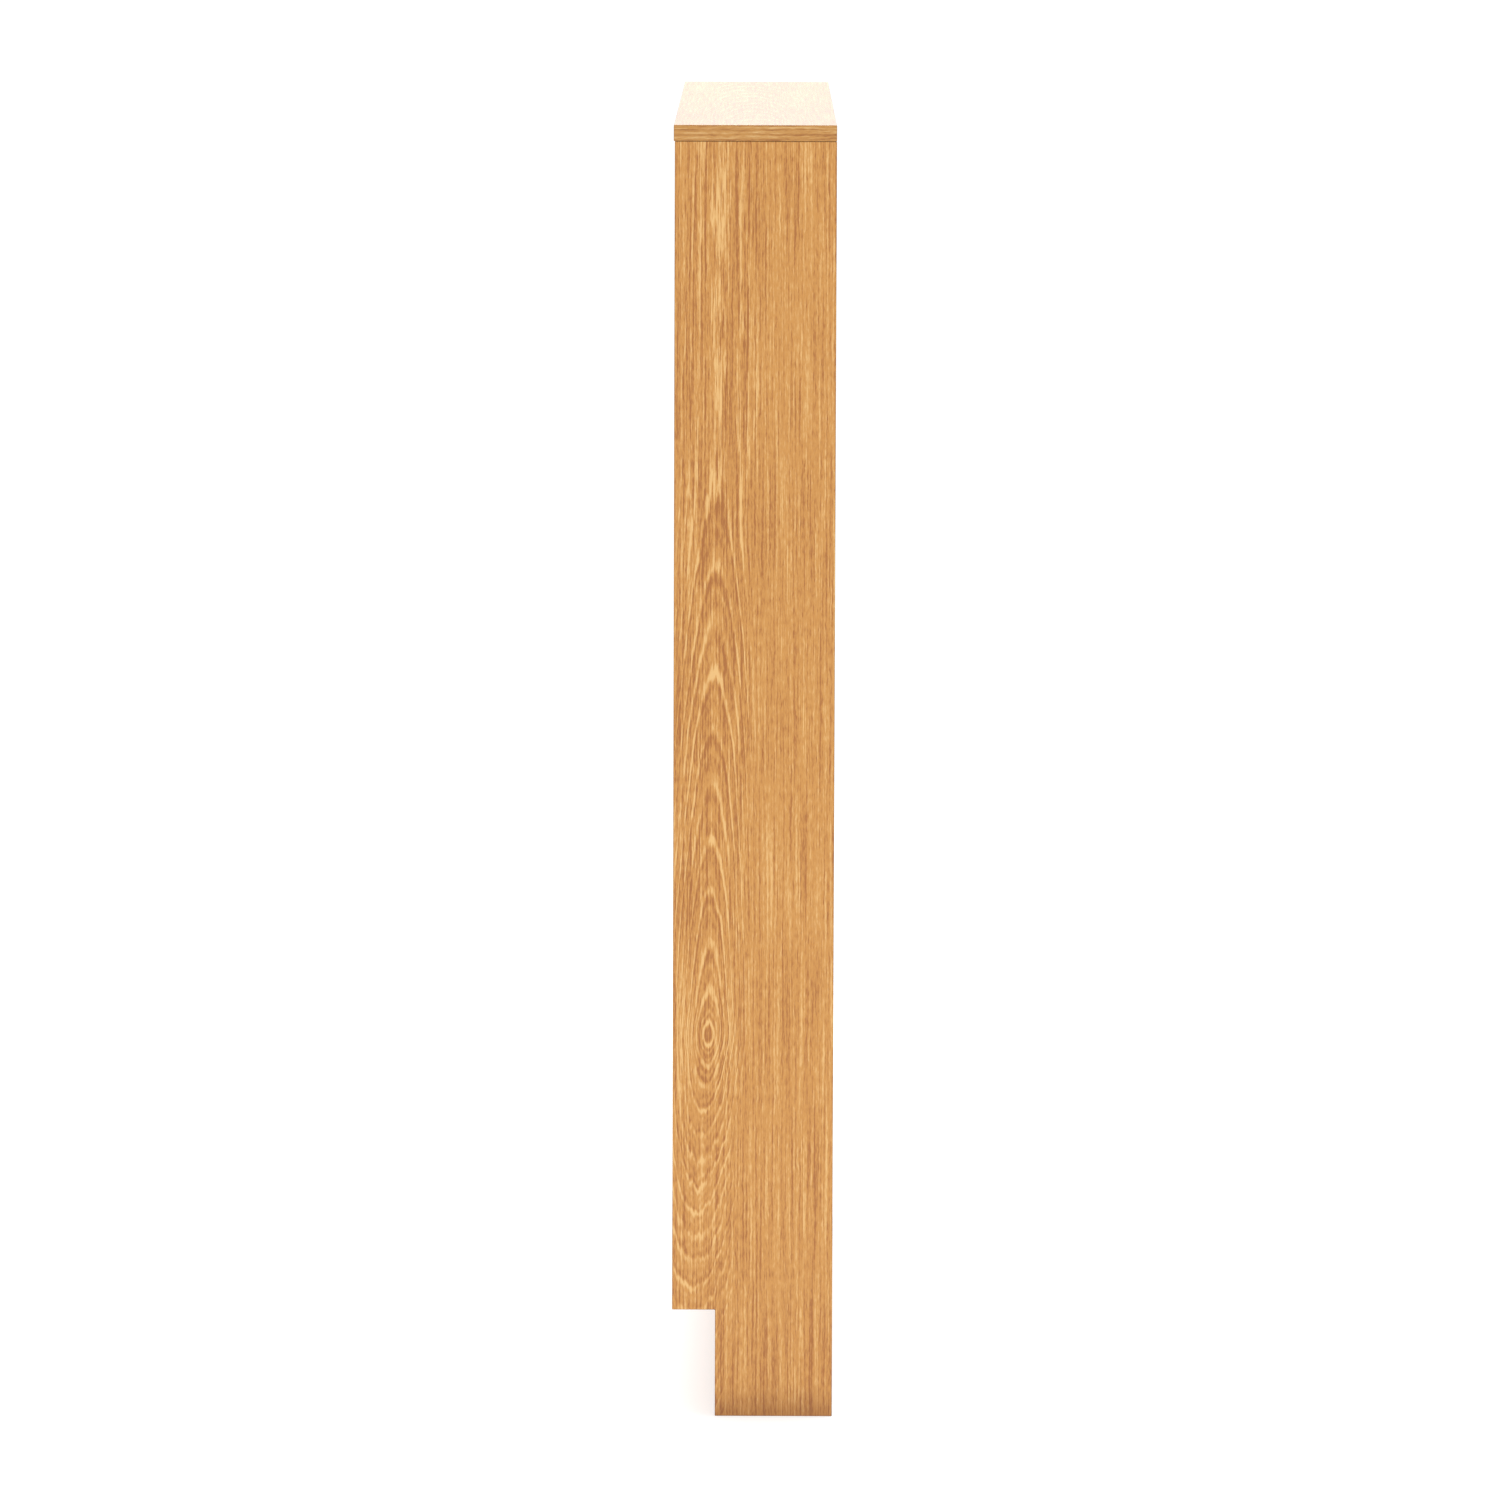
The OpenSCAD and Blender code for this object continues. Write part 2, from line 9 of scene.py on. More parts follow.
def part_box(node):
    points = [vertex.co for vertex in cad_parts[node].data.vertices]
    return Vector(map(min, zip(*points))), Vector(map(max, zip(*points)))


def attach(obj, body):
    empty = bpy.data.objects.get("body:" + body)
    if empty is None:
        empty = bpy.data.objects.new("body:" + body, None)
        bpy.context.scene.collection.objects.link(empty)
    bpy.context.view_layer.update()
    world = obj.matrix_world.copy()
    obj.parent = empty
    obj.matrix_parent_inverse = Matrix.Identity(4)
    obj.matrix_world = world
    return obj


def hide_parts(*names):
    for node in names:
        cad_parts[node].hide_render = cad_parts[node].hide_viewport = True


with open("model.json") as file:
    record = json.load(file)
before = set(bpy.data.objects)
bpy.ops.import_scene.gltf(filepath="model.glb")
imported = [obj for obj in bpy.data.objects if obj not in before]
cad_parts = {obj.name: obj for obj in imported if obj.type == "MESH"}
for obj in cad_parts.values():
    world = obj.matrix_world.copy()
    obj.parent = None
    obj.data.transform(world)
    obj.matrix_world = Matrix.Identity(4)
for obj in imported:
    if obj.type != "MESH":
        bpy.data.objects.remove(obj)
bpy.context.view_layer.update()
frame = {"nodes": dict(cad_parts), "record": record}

NODES = frame["nodes"]
SLOT_OF = {row["node"]: row["material_slot"] for row in frame["record"]["subparts"]}

MM = 0.001
WHITE = (1.0, 1.0, 1.0, 1)

# ---------- camera ----------
# A long lens looks slightly down at the cabinet's right side panel. The distance is from the
# panel's outer face, the side step goes towards the cabinet's back, the height is over the floor.
CAMERA_LENS = 221.72
CAMERA_DISTANCE = 8.488
CAMERA_SIDE_STEP = 0.00735
CAMERA_HEIGHT = 1.5195
CAMERA_PITCH = math.radians(6.026)
CAMERA_YAW = math.radians(-0.0708)
CAMERA_ROLL = math.radians(0.188)
CAMERA_CLIP = (0.1, 200.0)

# ---------- light ----------
# A white room with two large soft lamps: one overhead, shifted to the cabinet's left, and a weak
# one in front of the right side panel. The floor glows a little, as a lit white sweep does.
WORLD_LIGHT = 1.0
LAMPS = {
    "overhead": {"place": (-0.9, 0.0, 3.4), "target": (-0.9, 0.0, 0.0), "size": (2.8, 3.0), "power": 110.0},
    "key": {"place": (5.0, -2.2, 3.0), "target": (0.5, 0.0, 0.6), "size": (2.5, 2.5), "power": 10.0},
}
FLOOR_DARK = (0.48, 0.48, 0.48, 1)
FLOOR_LIGHT = (0.52, 0.52, 0.52, 1)
FLOOR_GLOW = 0.60
FLOOR_RADIUS = 90.0
FLOOR_DROP = 0.2 * MM

# ---------- oak print ----------
OAK_DARK = (0.380, 0.127, 0.015, 1)
OAK_MID = (0.592, 0.269, 0.053, 1)
OAK_LIGHT = (0.780, 0.468, 0.168, 1)
OAK_END_TINT = (0.78, 0.86, 1.0, 1)
END_TINT_SHARE = 0.5
OAK_WORN = tuple(c * 0.30 for c in OAK_DARK[:3]) + (1,)
WORN_SHARE = 0.55
# Painted shade: the oak turns darker over its lowest few centimetres, standing in for the floor's shade at
# the boards' foot.
OAK_FLOOR_SHADE = (0.70, 0.62, 0.54, 1)
FLOOR_SHADE_TOP = 34.0 * MM
FLOOR_SHADE_FULL = -4.0 * MM
FLOOR_SHADE_UNEVEN = 14.0 * MM
EDGE_RADIUS = 0.7 * MM
METAL_EDGE_RADIUS = 0.25 * MM

# The growth rings. HEART_DEPTH is how far under the face the trunk's middle lies at the eye,
# EYE_RADIUS rounds the loops there, and FIRST_CLIMB spaces the first arches wider.
RING_WIDTH = 5.0 * MM
HEART_DEPTH = 16.0 * MM
EYE_RADIUS = 20.0 * MM
FIRST_CLIMB = 50.0 * MM
REACH_BLEND = 80.0 * MM

# How far each kind of unevenness shifts a ring or the figure's centre line. Fibres shift a ring
# little in the arches, and more past their reach, where the figure frays into streaks.
WANDER_SHIFT = 10.0 * MM
DRIFT_SHIFT = 3.6 * MM
RAGGED_SHIFT = 4.5 * MM
FIBRE_SHIFT = 1.5 * MM
FRAYED_SHIFT = 7.0 * MM
SWAY_SHIFT = 1.6 * MM

# Heights at which the figure changes: above its reach, where it frays, and below its eye.
FRAY_START = -60.0 * MM
FRAY_END = 100.0 * MM
FOOT_START = -10.0 * MM
FOOT_END = -100.0 * MM
RAGGED_START = 20.0 * MM
RAGGED_END = -120.0 * MM
RAGGED_ABOVE = 0.15

# Widths of its lines as shares of a ring, and how many fine lines go to one ring.
LIGHT_LINE_WIDTH = 0.24
FINE_LINE_WIDTH = 0.4
FINE_LINES = 2.7

# Strength of its parts, as shares of the range from the darkest to the lightest oak.
LIGHT_LINE = 0.66
DARK_BAND = 0.24
FINE_LINE = 0.16
FINE_LINE_AT_EYE = 0.32
FIGURE_MEAN = 0.14
FOOT_STRENGTH = 0.78

# The straight grain in the same range: its mean and how far each noise layer moves it.
PRINT_MEAN = 0.47
TONE_DEPTH = 0.35
BAND_DEPTH = 0.5
STREAK_DEPTH = 2.35
WEAVE_DEPTH = 1.1
PORE_DEPTH = 0.25

# Noise layers: periods per metre across the grain and along it, and per unit of a board's seed,
# then detail and roughness.
WANDER = ((9.0, 2.6, 1.0), 3.0, 0.5)
DRIFT = ((34.0, 9.0, 1.0), 3.0, 0.5)
RAGGED = ((170.0, 14.0, 1.0), 2.0, 0.5)
FIBRES = ((560.0, 16.0, 1.0), 2.0, 0.6)
BROKEN = ((70.0, 14.0, 1.0), 3.0, 0.5)
SWAY = ((50.0, 60.0, 1.0), 2.0, 0.5)
TONE = ((16.0, 1.0, 1.0), 2.0, 0.5)
BAND = ((120.0, 1.6, 1.0), 2.0, 0.5)
STREAK = ((560.0, 6.5, 1.0), 3.0, 0.7)
WEAVE = ((620.0, 110.0, 1.0), 2.0, 0.65)
PORE = ((700.0, 60.0, 1.0), 2.0, 0.6)
# The next layer makes the top edge of the painted shade near the floor uneven.
FLOOR_SHADE_NOISE = ((50.0, 50.0, 6.0), 2.0, 0.5)


class Graph:
    """Short calls that build one material's nodes. An input is a number, a tuple or a socket."""

    def __init__(self, name):
        self.material = bpy.data.materials.new(name)
        self.material.use_nodes = True
        self.tree = self.material.node_tree
        self.shader = self.tree.nodes["Principled BSDF"]

    def put(self, socket, value):
        if isinstance(value, bpy.types.NodeSocket):
            self.tree.links.new(value, socket)
        else:
            socket.default_value = value

    def add(self, kind, inputs=(), **settings):
        node = self.tree.nodes.new(kind)
        for key, value in settings.items():
            setattr(node, key, value)
        for socket, value in zip(node.inputs, inputs):
            self.put(socket, value)
        return node

    def math(self, operation, *inputs):
        return self.add("ShaderNodeMath", inputs, operation=operation).outputs[0]

    def plus(self, value, layer, weight):
        """The value with a weighted layer on top of it."""
        return self.math("ADD", value, self.math("MULTIPLY", layer, weight))

    def vector(self, operation, *inputs):
        node = self.add("ShaderNodeVectorMath", inputs, operation=operation)
        return node.outputs["Value" if operation == "DOT_PRODUCT" else "Vector"]

    def split(self, vector):
        return self.add("ShaderNodeSeparateXYZ", (vector,)).outputs

    def join(self, x, y, z):
        return self.add("ShaderNodeCombineXYZ", (x, y, z)).outputs[0]

    def object_place(self):
        """The point's own coordinates, in metres; the CAD nodes all share one origin."""
        return self.add("ShaderNodeTexCoord").outputs["Object"]

    def object_normal(self):
        return self.add("ShaderNodeTexCoord").outputs["Normal"]

    def noise(self, place, scale, detail=2.0, roughness=0.5):
        """Noise around 0, from about -0.5 to 0.5. scale is a number per axis."""
        stretched = self.vector("MULTIPLY", place, scale)
        node = self.add("ShaderNodeTexNoise")
        self.put(node.inputs["Vector"], stretched)
        node.inputs["Scale"].default_value = 1.0
        node.inputs["Detail"].default_value = detail
        node.inputs["Roughness"].default_value = roughness
        return self.math("SUBTRACT", node.outputs[0], 0.5)

    def ramp(self, value, low, high, to_low=0.0, to_high=1.0):
        """A smooth step from to_low at low to to_high at high."""
        node = self.add("ShaderNodeMapRange", (value, low, high, to_low, to_high))
        node.interpolation_type = "SMOOTHSTEP"
        return node.outputs[0]

    def mix(self, factor, first, second, blend="MIX"):
        node = self.add("ShaderNodeMix", data_type="RGBA", blend_type=blend)
        node.clamp_factor = True
        colours = [s for s in node.inputs if s.type == "RGBA"]
        self.put(node.inputs[0], factor)
        self.put(colours[0], first)
        self.put(colours[1], second)
        return next(s for s in node.outputs if s.type == "RGBA")

    def choose(self, factor, first, second):
        """One of two vectors."""
        node = self.add("ShaderNodeMix", (factor,), data_type="VECTOR")
        vectors = [s for s in node.inputs if s.type == "VECTOR"]
        self.put(vectors[-2], first)
        self.put(vectors[-1], second)
        return next(s for s in node.outputs if s.type == "VECTOR")

    def bump(self, height, distance, strength):
        node = self.add("ShaderNodeBump")
        node.inputs["Strength"].default_value = strength
        node.inputs["Distance"].default_value = distance
        self.put(node.inputs["Height"], height)
        self.put(self.shader.inputs["Normal"], node.outputs[0])

    def finish(self, **values):
        """Sets the shader's own sockets: colour= becomes Base Color, and so on."""
        names = {"colour": "Base Color", "rough": "Roughness", "metal": "Metallic",
                 "coat": "Coat Weight", "coat_rough": "Coat Roughness",
                 "specular": "Specular IOR Level", "subsurface": "Subsurface Weight",
                 "glow_colour": "Emission Color", "glow": "Emission Strength"}
        for key, value in values.items():
            self.put(self.shader.inputs[names[key]], value)
        return self.material


# The end band's print is cut from another place of the sheet: across it, and in its seed.
END_BAND_SHIFT = (0.31, 0.7)
# How squarely a point faces along the board on an end, and the range that counts as rounded edge.
END_FACING = 0.75
CORNER_TURN = (0.99, 0.93)


def axis_vector(letter):
    return tuple(1.0 if letter == name else 0.0 for name in "xyz")


def board_places(g, board):
    """Where a point lies on a board's printed foil, measured from the board's middle:
    (across, along, 0) on the faces and long edges. On the two ends the edge band's own grain
    runs across the board. Also returns masks for the ends and for the rounded edges."""
    middle = (board["low"] + board["high"]) / 2
    place = g.vector("SUBTRACT", g.object_place(), tuple(middle))
    normal = g.object_normal()
    a = g.vector("DOT_PRODUCT", place, axis_vector(board["along"]))
    u = g.vector("DOT_PRODUCT", place, axis_vector(board["across"]))
    n = g.vector("DOT_PRODUCT", place, axis_vector(board["through"]))
    face = g.join(g.math("ADD", u, n), a, 0.0)
    end = g.join(g.math("ADD", n, END_BAND_SHIFT[0]), u, END_BAND_SHIFT[1])
    facing_end = g.math("ABSOLUTE", g.vector("DOT_PRODUCT", normal, axis_vector(board["along"])))
    on_end = g.math("GREATER_THAN", facing_end, END_FACING)
    sizes = g.split(g.vector("ABSOLUTE", normal))
    squarest = g.math("MAXIMUM", g.math("MAXIMUM", sizes[0], sizes[1]), sizes[2])
    corner = g.ramp(squarest, *CORNER_TURN)
    return g.choose(on_end, face, end), on_end, corner


def oak_rings(g, u, a, place, figure):
    """The growth rings of a flat-sawn board. A ring is a circle round the trunk's middle, which
    comes nearest to the board's face at the eye and dives away above and below it, so the rings
    show as closed loops with pointed arches. Past the figure's reach the grain is straight.
    Returns the number of rings from the trunk's middle, the distance from the figure's centre
    line, and the height above the eye."""
    t = g.math("SUBTRACT", a, figure["eye"])
    centre = g.plus(figure["centre"], t, figure["lean"])
    centre = g.plus(centre, g.math("MINIMUM", t, 0.0), figure["bend"])
    from_centre = g.plus(g.math("SUBTRACT", u, centre), g.noise(place, *WANDER), WANDER_SHIFT)

    squared = g.math("MULTIPLY", t, t)
    rounded = g.math("ADD", squared, EYE_RADIUS ** 2)
    climb = g.math("SUBTRACT", g.math("SQRT", rounded), EYE_RADIUS)
    climb = g.math("SMOOTH_MIN", climb, figure["reach"] - EYE_RADIUS, REACH_BLEND)
    climb = g.math("MULTIPLY", climb, g.ramp(t, -EYE_RADIUS, 0.0, figure["foot_climb"], 1.0))
    climb = g.plus(climb, g.math("DIVIDE", squared, rounded), FIRST_CLIMB)
    depth = g.plus(HEART_DEPTH, climb, figure["slope"])

    squeeze = g.ramp(t, FOOT_END, FOOT_START, figure["foot_squeeze"], figure["squeeze"])
    flat = g.math("MULTIPLY", from_centre, squeeze)
    radius = g.math("SQRT", g.plus(g.math("MULTIPLY", depth, depth), flat, flat))

    past_reach = g.math("SUBTRACT", t, figure["reach"])
    fibre_shift = g.ramp(past_reach, FRAY_START, FRAY_END, FIBRE_SHIFT, FRAYED_SHIFT)
    ragged_shift = g.ramp(t, RAGGED_END, RAGGED_START, RAGGED_SHIFT, RAGGED_ABOVE * RAGGED_SHIFT)
    radius = g.plus(radius, g.noise(place, *FIBRES), fibre_shift)
    radius = g.plus(radius, g.noise(place, *DRIFT), DRIFT_SHIFT)
    radius = g.plus(radius, g.noise(place, *RAGGED), ragged_shift)
    return g.math("DIVIDE", radius, RING_WIDTH), from_centre, t


def ring_line(g, rings, width):
    """1 on a line that follows each ring, fading to 0 at width, which is a share of a ring."""
    phase = g.math("FRACT", rings)
    off = g.math("ABSOLUTE", g.math("SUBTRACT", phase, 0.5))
    return g.ramp(off, 0.0, width, 1.0, 0.0)


def cathedral(g, u, a, place, on_end, figure):
    """How much one figure lightens or darkens the print: pale lines along its rings, finer ones
    between them, and a darker band inside each arch."""
    rings, from_centre, t = oak_rings(g, u, a, place, figure)
    spread = figure["spread"]
    mask = g.ramp(g.math("ABSOLUTE", from_centre), 0.48 * spread, spread, 1.0, 0.08)
    mask = g.math("MULTIPLY", mask, g.math("SUBTRACT", 1.0, on_end))
    mask = g.math("MULTIPLY", mask, g.ramp(t, FOOT_END, 20.0 * MM, FOOT_STRENGTH, 1.0))

    broken = g.ramp(g.noise(place, *BROKEN), -0.16, 0.14, 0.25, 1.0)
    light_line = g.math("MULTIPLY", ring_line(g, rings, LIGHT_LINE_WIDTH), broken)
    fine_line = ring_line(g, g.math("MULTIPLY", rings, FINE_LINES), FINE_LINE_WIDTH)
    fine_strength = g.ramp(g.math("ABSOLUTE", t), 0.02, 0.09, FINE_LINE_AT_EYE, FINE_LINE)
    phase = g.math("FRACT", rings)
    dark_band = g.math("MULTIPLY", g.ramp(phase, 0.05, 0.36), g.ramp(phase, 0.36, 0.5, 1.0, 0.0))

    figured = g.plus(-FIGURE_MEAN, light_line, LIGHT_LINE)
    figured = g.plus(figured, dark_band, -DARK_BAND)
    figured = g.plus(figured, fine_line, fine_strength)
    return g.math("MULTIPLY", figured, mask)


def painted_floor_shade(g):
    """1 at the floor, gone a few centimetres above it: painted shade, which darkens the boards' foot as the
    floor's shade near it would.
    """
    place = g.object_place()
    height = g.plus(g.split(place)[2], g.noise(place, *FLOOR_SHADE_NOISE), FLOOR_SHADE_UNEVEN)
    return g.ramp(height, FLOOR_SHADE_TOP, FLOOR_SHADE_FULL)


def oak_print(g, board, figures):
    """The printed foil: its colour, with painted shade near the floor, its fine weave and the height that
    its embossing follows.
    """
    place, on_end, corner = board_places(g, board)
    place = g.vector("ADD", place, (0.0, 0.0, figures[0]["seed"]))
    parts = g.split(place)

    sway = g.math("MULTIPLY", g.noise(place, *SWAY), SWAY_SHIFT)
    swayed = g.vector("ADD", place, g.join(sway, 0.0, 0.0))
    weave = g.noise(swayed, *WEAVE)
    pore = g.ramp(g.noise(swayed, *PORE), 0.08, 0.2)
    value = g.plus(PRINT_MEAN, g.noise(place, *TONE), TONE_DEPTH)
    value = g.plus(value, g.noise(place, *BAND), BAND_DEPTH)
    value = g.plus(value, g.noise(swayed, *STREAK), STREAK_DEPTH)
    value = g.plus(value, weave, WEAVE_DEPTH)
    for figure in figures:
        value = g.math("ADD", value, cathedral(g, parts[0], parts[1], place, on_end, figure))
    value = g.plus(value, pore, -PORE_DEPTH)

    colour = g.mix(g.ramp(value, 0.0, 0.5), OAK_DARK, OAK_MID)
    colour = g.mix(g.ramp(value, 0.5, 1.0), colour, OAK_LIGHT)
    colour = g.mix(g.math("MULTIPLY", on_end, END_TINT_SHARE), colour, OAK_END_TINT, "MULTIPLY")
    # Painted shade near the floor, multiplied into the print's colour.
    colour = g.mix(painted_floor_shade(g), colour, OAK_FLOOR_SHADE, "MULTIPLY")
    colour = g.mix(g.math("MULTIPLY", corner, WORN_SHARE), colour, OAK_WORN)
    return colour, weave, g.math("SUBTRACT", value, pore)


def oak(name, board, figures):
    """Board wrapped in printed foil on every face and edge, under a clear lacquer."""
    g = Graph(name)
    colour, weave, height = oak_print(g, board, figures)
    g.bump(height, 0.03 * MM, 0.5)
    return g.finish(colour=colour, rough=g.plus(0.40, weave, 0.10), specular=0.12,
                    coat=1.0, coat_rough=0.16)


# ---------- other materials ----------

def back_sheet(name, board, figures):
    """Back sheet: brown pressed fibres, with the oak print on the face towards the shelves."""
    g = Graph(name)
    place = g.object_place()
    cloud = g.noise(place, (14.0, 14.0, 14.0), 4.0, 0.6)
    fibre = g.noise(place, (320.0, 300.0, 260.0), 4.0, 0.75)
    chip = g.ramp(g.noise(place, (140.0, 300.0, 420.0), 3.0, 0.6), 0.10, 0.22)
    value = g.plus(0.5, cloud, 0.6)
    value = g.plus(value, fibre, 1.3)
    raw = g.mix(value, (0.215, 0.112, 0.048, 1), (0.400, 0.240, 0.122, 1))
    raw = g.mix(g.math("MULTIPLY", chip, 0.4), raw, (0.120, 0.060, 0.026, 1))
    printed, weave, embossed = oak_print(g, board, figures)
    inward = g.math("LESS_THAN", g.split(g.object_normal())[1], -0.5)
    height = g.plus(g.math("MULTIPLY", embossed, inward), fibre, 1.5)
    g.bump(height, 0.04 * MM, 0.6)
    return g.finish(colour=g.mix(inward, raw, printed), specular=0.35,
                    rough=g.plus(0.82, inward, -0.30))


def metal(name, dark, light, rough, brushed, stretch):
    """Metal with fine lines along one axis, which also break up its gloss."""
    g = Graph(name)
    place = g.object_place()
    scale = tuple(stretch if axis == brushed else 2600.0 for axis in "xyz")
    lines = g.noise(place, scale, 3.0, 0.6)
    cloud = g.noise(place, (60.0, 60.0, 60.0), 3.0)
    value = g.plus(g.math("ADD", 0.5, lines), cloud, 0.6)
    g.bump(lines, 0.02 * MM, 0.35)
    return g.finish(colour=g.mix(value, dark, light), metal=1.0,
                    rough=g.ramp(value, 0.1, 0.9, rough - 0.07, rough + 0.09))


def moulded(name, dark, light, rough, grain):
    """Moulded plastic: a fine eroded grain and a slow drift of its colour."""
    g = Graph(name)
    place = g.object_place()
    pits = g.noise(place, (grain, grain, grain), 3.0, 0.6)
    cloud = g.noise(place, (40.0, 40.0, 25.0), 3.0)
    value = g.plus(g.math("ADD", 0.5, cloud), pits, 0.35)
    g.bump(pits, 0.03 * MM, 0.5)
    return g.finish(colour=g.mix(value, dark, light), specular=0.4,
                    rough=g.ramp(value, 0.0, 1.0, rough - 0.05, rough + 0.08))


def cast_zinc():
    g = Graph("die_cast_zinc")
    place = g.object_place()
    grit = g.noise(place, (1800.0, 1800.0, 1800.0), 4.0, 0.7)
    stain = g.noise(place, (240.0, 240.0, 240.0), 3.0)
    value = g.plus(g.math("ADD", 0.5, stain), grit, 0.5)
    colour = g.mix(value, (0.30, 0.30, 0.31, 1), (0.56, 0.56, 0.57, 1))
    g.bump(grit, 0.05 * MM, 0.6)
    return g.finish(colour=colour, metal=1.0, rough=g.ramp(value, 0.0, 1.0, 0.38, 0.58))


def soft_rubber():
    g = Graph("clear_soft_rubber")
    haze = g.noise(g.object_place(), (300.0, 300.0, 300.0), 3.0)
    colour = g.mix(g.math("ADD", 0.5, haze), (0.62, 0.62, 0.60, 1), (0.80, 0.80, 0.78, 1))
    g.bump(haze, 0.04 * MM, 0.4)
    return g.finish(colour=colour, rough=g.ramp(haze, -0.5, 0.5, 0.28, 0.42), subsurface=0.35)


def beech():
    g = Graph("turned_beech")
    fleck = g.noise(g.object_place(), (900.0, 900.0, 120.0), 3.0, 0.6)
    colour = g.mix(g.math("ADD", 0.5, fleck), (0.50, 0.30, 0.15, 1), (0.74, 0.52, 0.31, 1))
    g.bump(fleck, 0.05 * MM, 0.5)
    return g.finish(colour=colour, rough=g.ramp(fleck, -0.5, 0.5, 0.55, 0.75))


# Slot: its darkest and lightest colour, its roughness, and its grains per metre.
PLASTICS = {
    "tan_plastic": ((0.40, 0.205, 0.075, 1), (0.50, 0.265, 0.105, 1), 0.45, 1400.0),
    "ivory_plastic": ((0.62, 0.55, 0.43, 1), (0.72, 0.66, 0.54, 1), 0.5, 1400.0),
    "dark_plastic": ((0.028, 0.027, 0.026, 1), (0.055, 0.053, 0.05, 1), 0.42, 1400.0),
    "wheel_nylon": ((0.72, 0.70, 0.64, 1), (0.82, 0.81, 0.76, 1), 0.3, 600.0),
}

# Slot: its finish, its darkest and lightest colour, its roughness, the axis that its lines
# follow, and how often they change along it, per metre.
METALS = {
    "pull_metal": ("brushed_pull", (0.34, 0.31, 0.27, 1), (0.56, 0.52, 0.47, 1), 0.34, "z", 18.0),
    "plated_steel": ("zinc_plate", (0.50, 0.49, 0.47, 1), (0.74, 0.72, 0.68, 1), 0.3, "z", 500.0),
    "track_aluminium": ("drawn_aluminium", (0.66, 0.66, 0.67, 1), (0.84, 0.84, 0.85, 1), 0.32, "x", 4.0),
}


def slot_materials():
    materials = {"beech": beech(), "soft_rubber": soft_rubber(), "cast_zinc": cast_zinc()}
    for slot, finish in PLASTICS.items():
        materials[slot] = moulded(slot, *finish)
    for slot, finish in METALS.items():
        materials[slot] = metal(*finish)
    return materials


# ---------- boards ----------

def board(node, along, across, through):
    low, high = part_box(node)
    return {"low": low, "high": high, "along": along, "across": across, "through": through}


def upright_y(node):
    return board(node, "z", "y", "x")


def upright_x(node):
    return board(node, "z", "x", "y")


def level(node):
    return board(node, "x", "y", "z")


def on_its_edge(node):
    return board(node, "x", "z", "y")


def figure(seed, centre=0.0, eye=0.0, **changes):
    """Where the growth rings close, and their shape. centre is the figure's line across the board
    and eye the height along it, both from the board's middle. The line leans, and below the eye it
    also bends. slope is how fast the trunk's middle dives, squeeze narrows the arches, reach is the
    height at which they end, and spread is the figure's half width. Below the eye, foot_climb
    multiplies the slope and foot_squeeze takes the place of squeeze."""
    shape = {"seed": seed, "centre": centre, "eye": eye, "lean": 0.01, "bend": 0.0, "slope": 0.10,
             "squeeze": 1.1, "reach": 2.0, "spread": 46 * MM, "foot_climb": 1.0}
    shape.update(changes)
    shape.setdefault("foot_squeeze", shape["squeeze"])
    return shape


def plain(seed):
    """Straight grain: the figure lies far outside the board."""
    return [figure(seed, 0.9)]


# Board: how it lies, and the figures printed on it.
BOARDS = {
    "side_panel_right": (upright_y, [
        figure(3.0, -0.035, -0.2335, lean=0.016, bend=0.04, squeeze=1.42, reach=0.4865,
               foot_squeeze=1.3, foot_climb=2.1)]),
    "side_panel_left": (upright_y, [figure(5.0, 0.03, 0.18, lean=-0.012, slope=0.085, squeeze=1.3)]),
    "top_board": (level, [figure(8.0, 0.012, 0.85, slope=0.05)]),
    "bottom_board": (level, [figure(9.0, -0.03, 0.2, slope=0.06)]),
    "centre_partition": (upright_y, plain(11.0)),
    "kick_board": (on_its_edge, plain(13.0)),
    "centre_support": (upright_y, plain(14.0)),
    "fixed_shelf_left": (level, plain(15.0)),
    "fixed_shelf_right": (level, [figure(16.0, 0.01, 0.1, slope=0.06)]),
    "shelf_left_low": (level, [figure(17.0, 0.0, -0.4, slope=0.05)]),
    "shelf_left_mid": (level, plain(18.0)),
    "shelf_left_high": (level, [figure(19.0, 0.02, 0.05, slope=0.07)]),
    "shelf_right_low": (level, plain(20.0)),
    "shelf_right_mid": (level, [figure(21.0, -0.02, -0.1, slope=0.06)]),
    "shelf_right_high": (level, plain(22.0)),
    "wall_rail_left": (on_its_edge, plain(23.0)),
    "wall_rail_right": (on_its_edge, plain(24.0)),
    "right_door_panel": (upright_x, [
        figure(31.0, 0.075, -0.30, lean=0.02, slope=0.095, squeeze=1.0, spread=60 * MM),
        figure(31.0, -0.19, 0.12, lean=-0.01, bend=0.03, slope=0.11, squeeze=1.3)]),
    "left_door_panel": (upright_x, [
        figure(37.0, -0.10, -0.12, lean=-0.015, slope=0.09, squeeze=1.05, spread=58 * MM),
        figure(37.0, 0.15, 0.36, lean=0.012, slope=0.105, squeeze=1.2, reach=0.6)]),
}

BACK_SHEETS = {
    "back_sheet_left": [figure(41.0, -0.10, 0.1, slope=0.09, spread=56 * MM),
                        figure(41.0, 0.17, -0.2, lean=-0.01, squeeze=1.3)],
    "back_sheet_right": [figure(43.0, 0.06, -0.15, slope=0.1, spread=60 * MM)],
}

SOFTENED_NODES = ("upper_track", "lower_track", "back_joiner", "cam_covers", "shelf_pins")


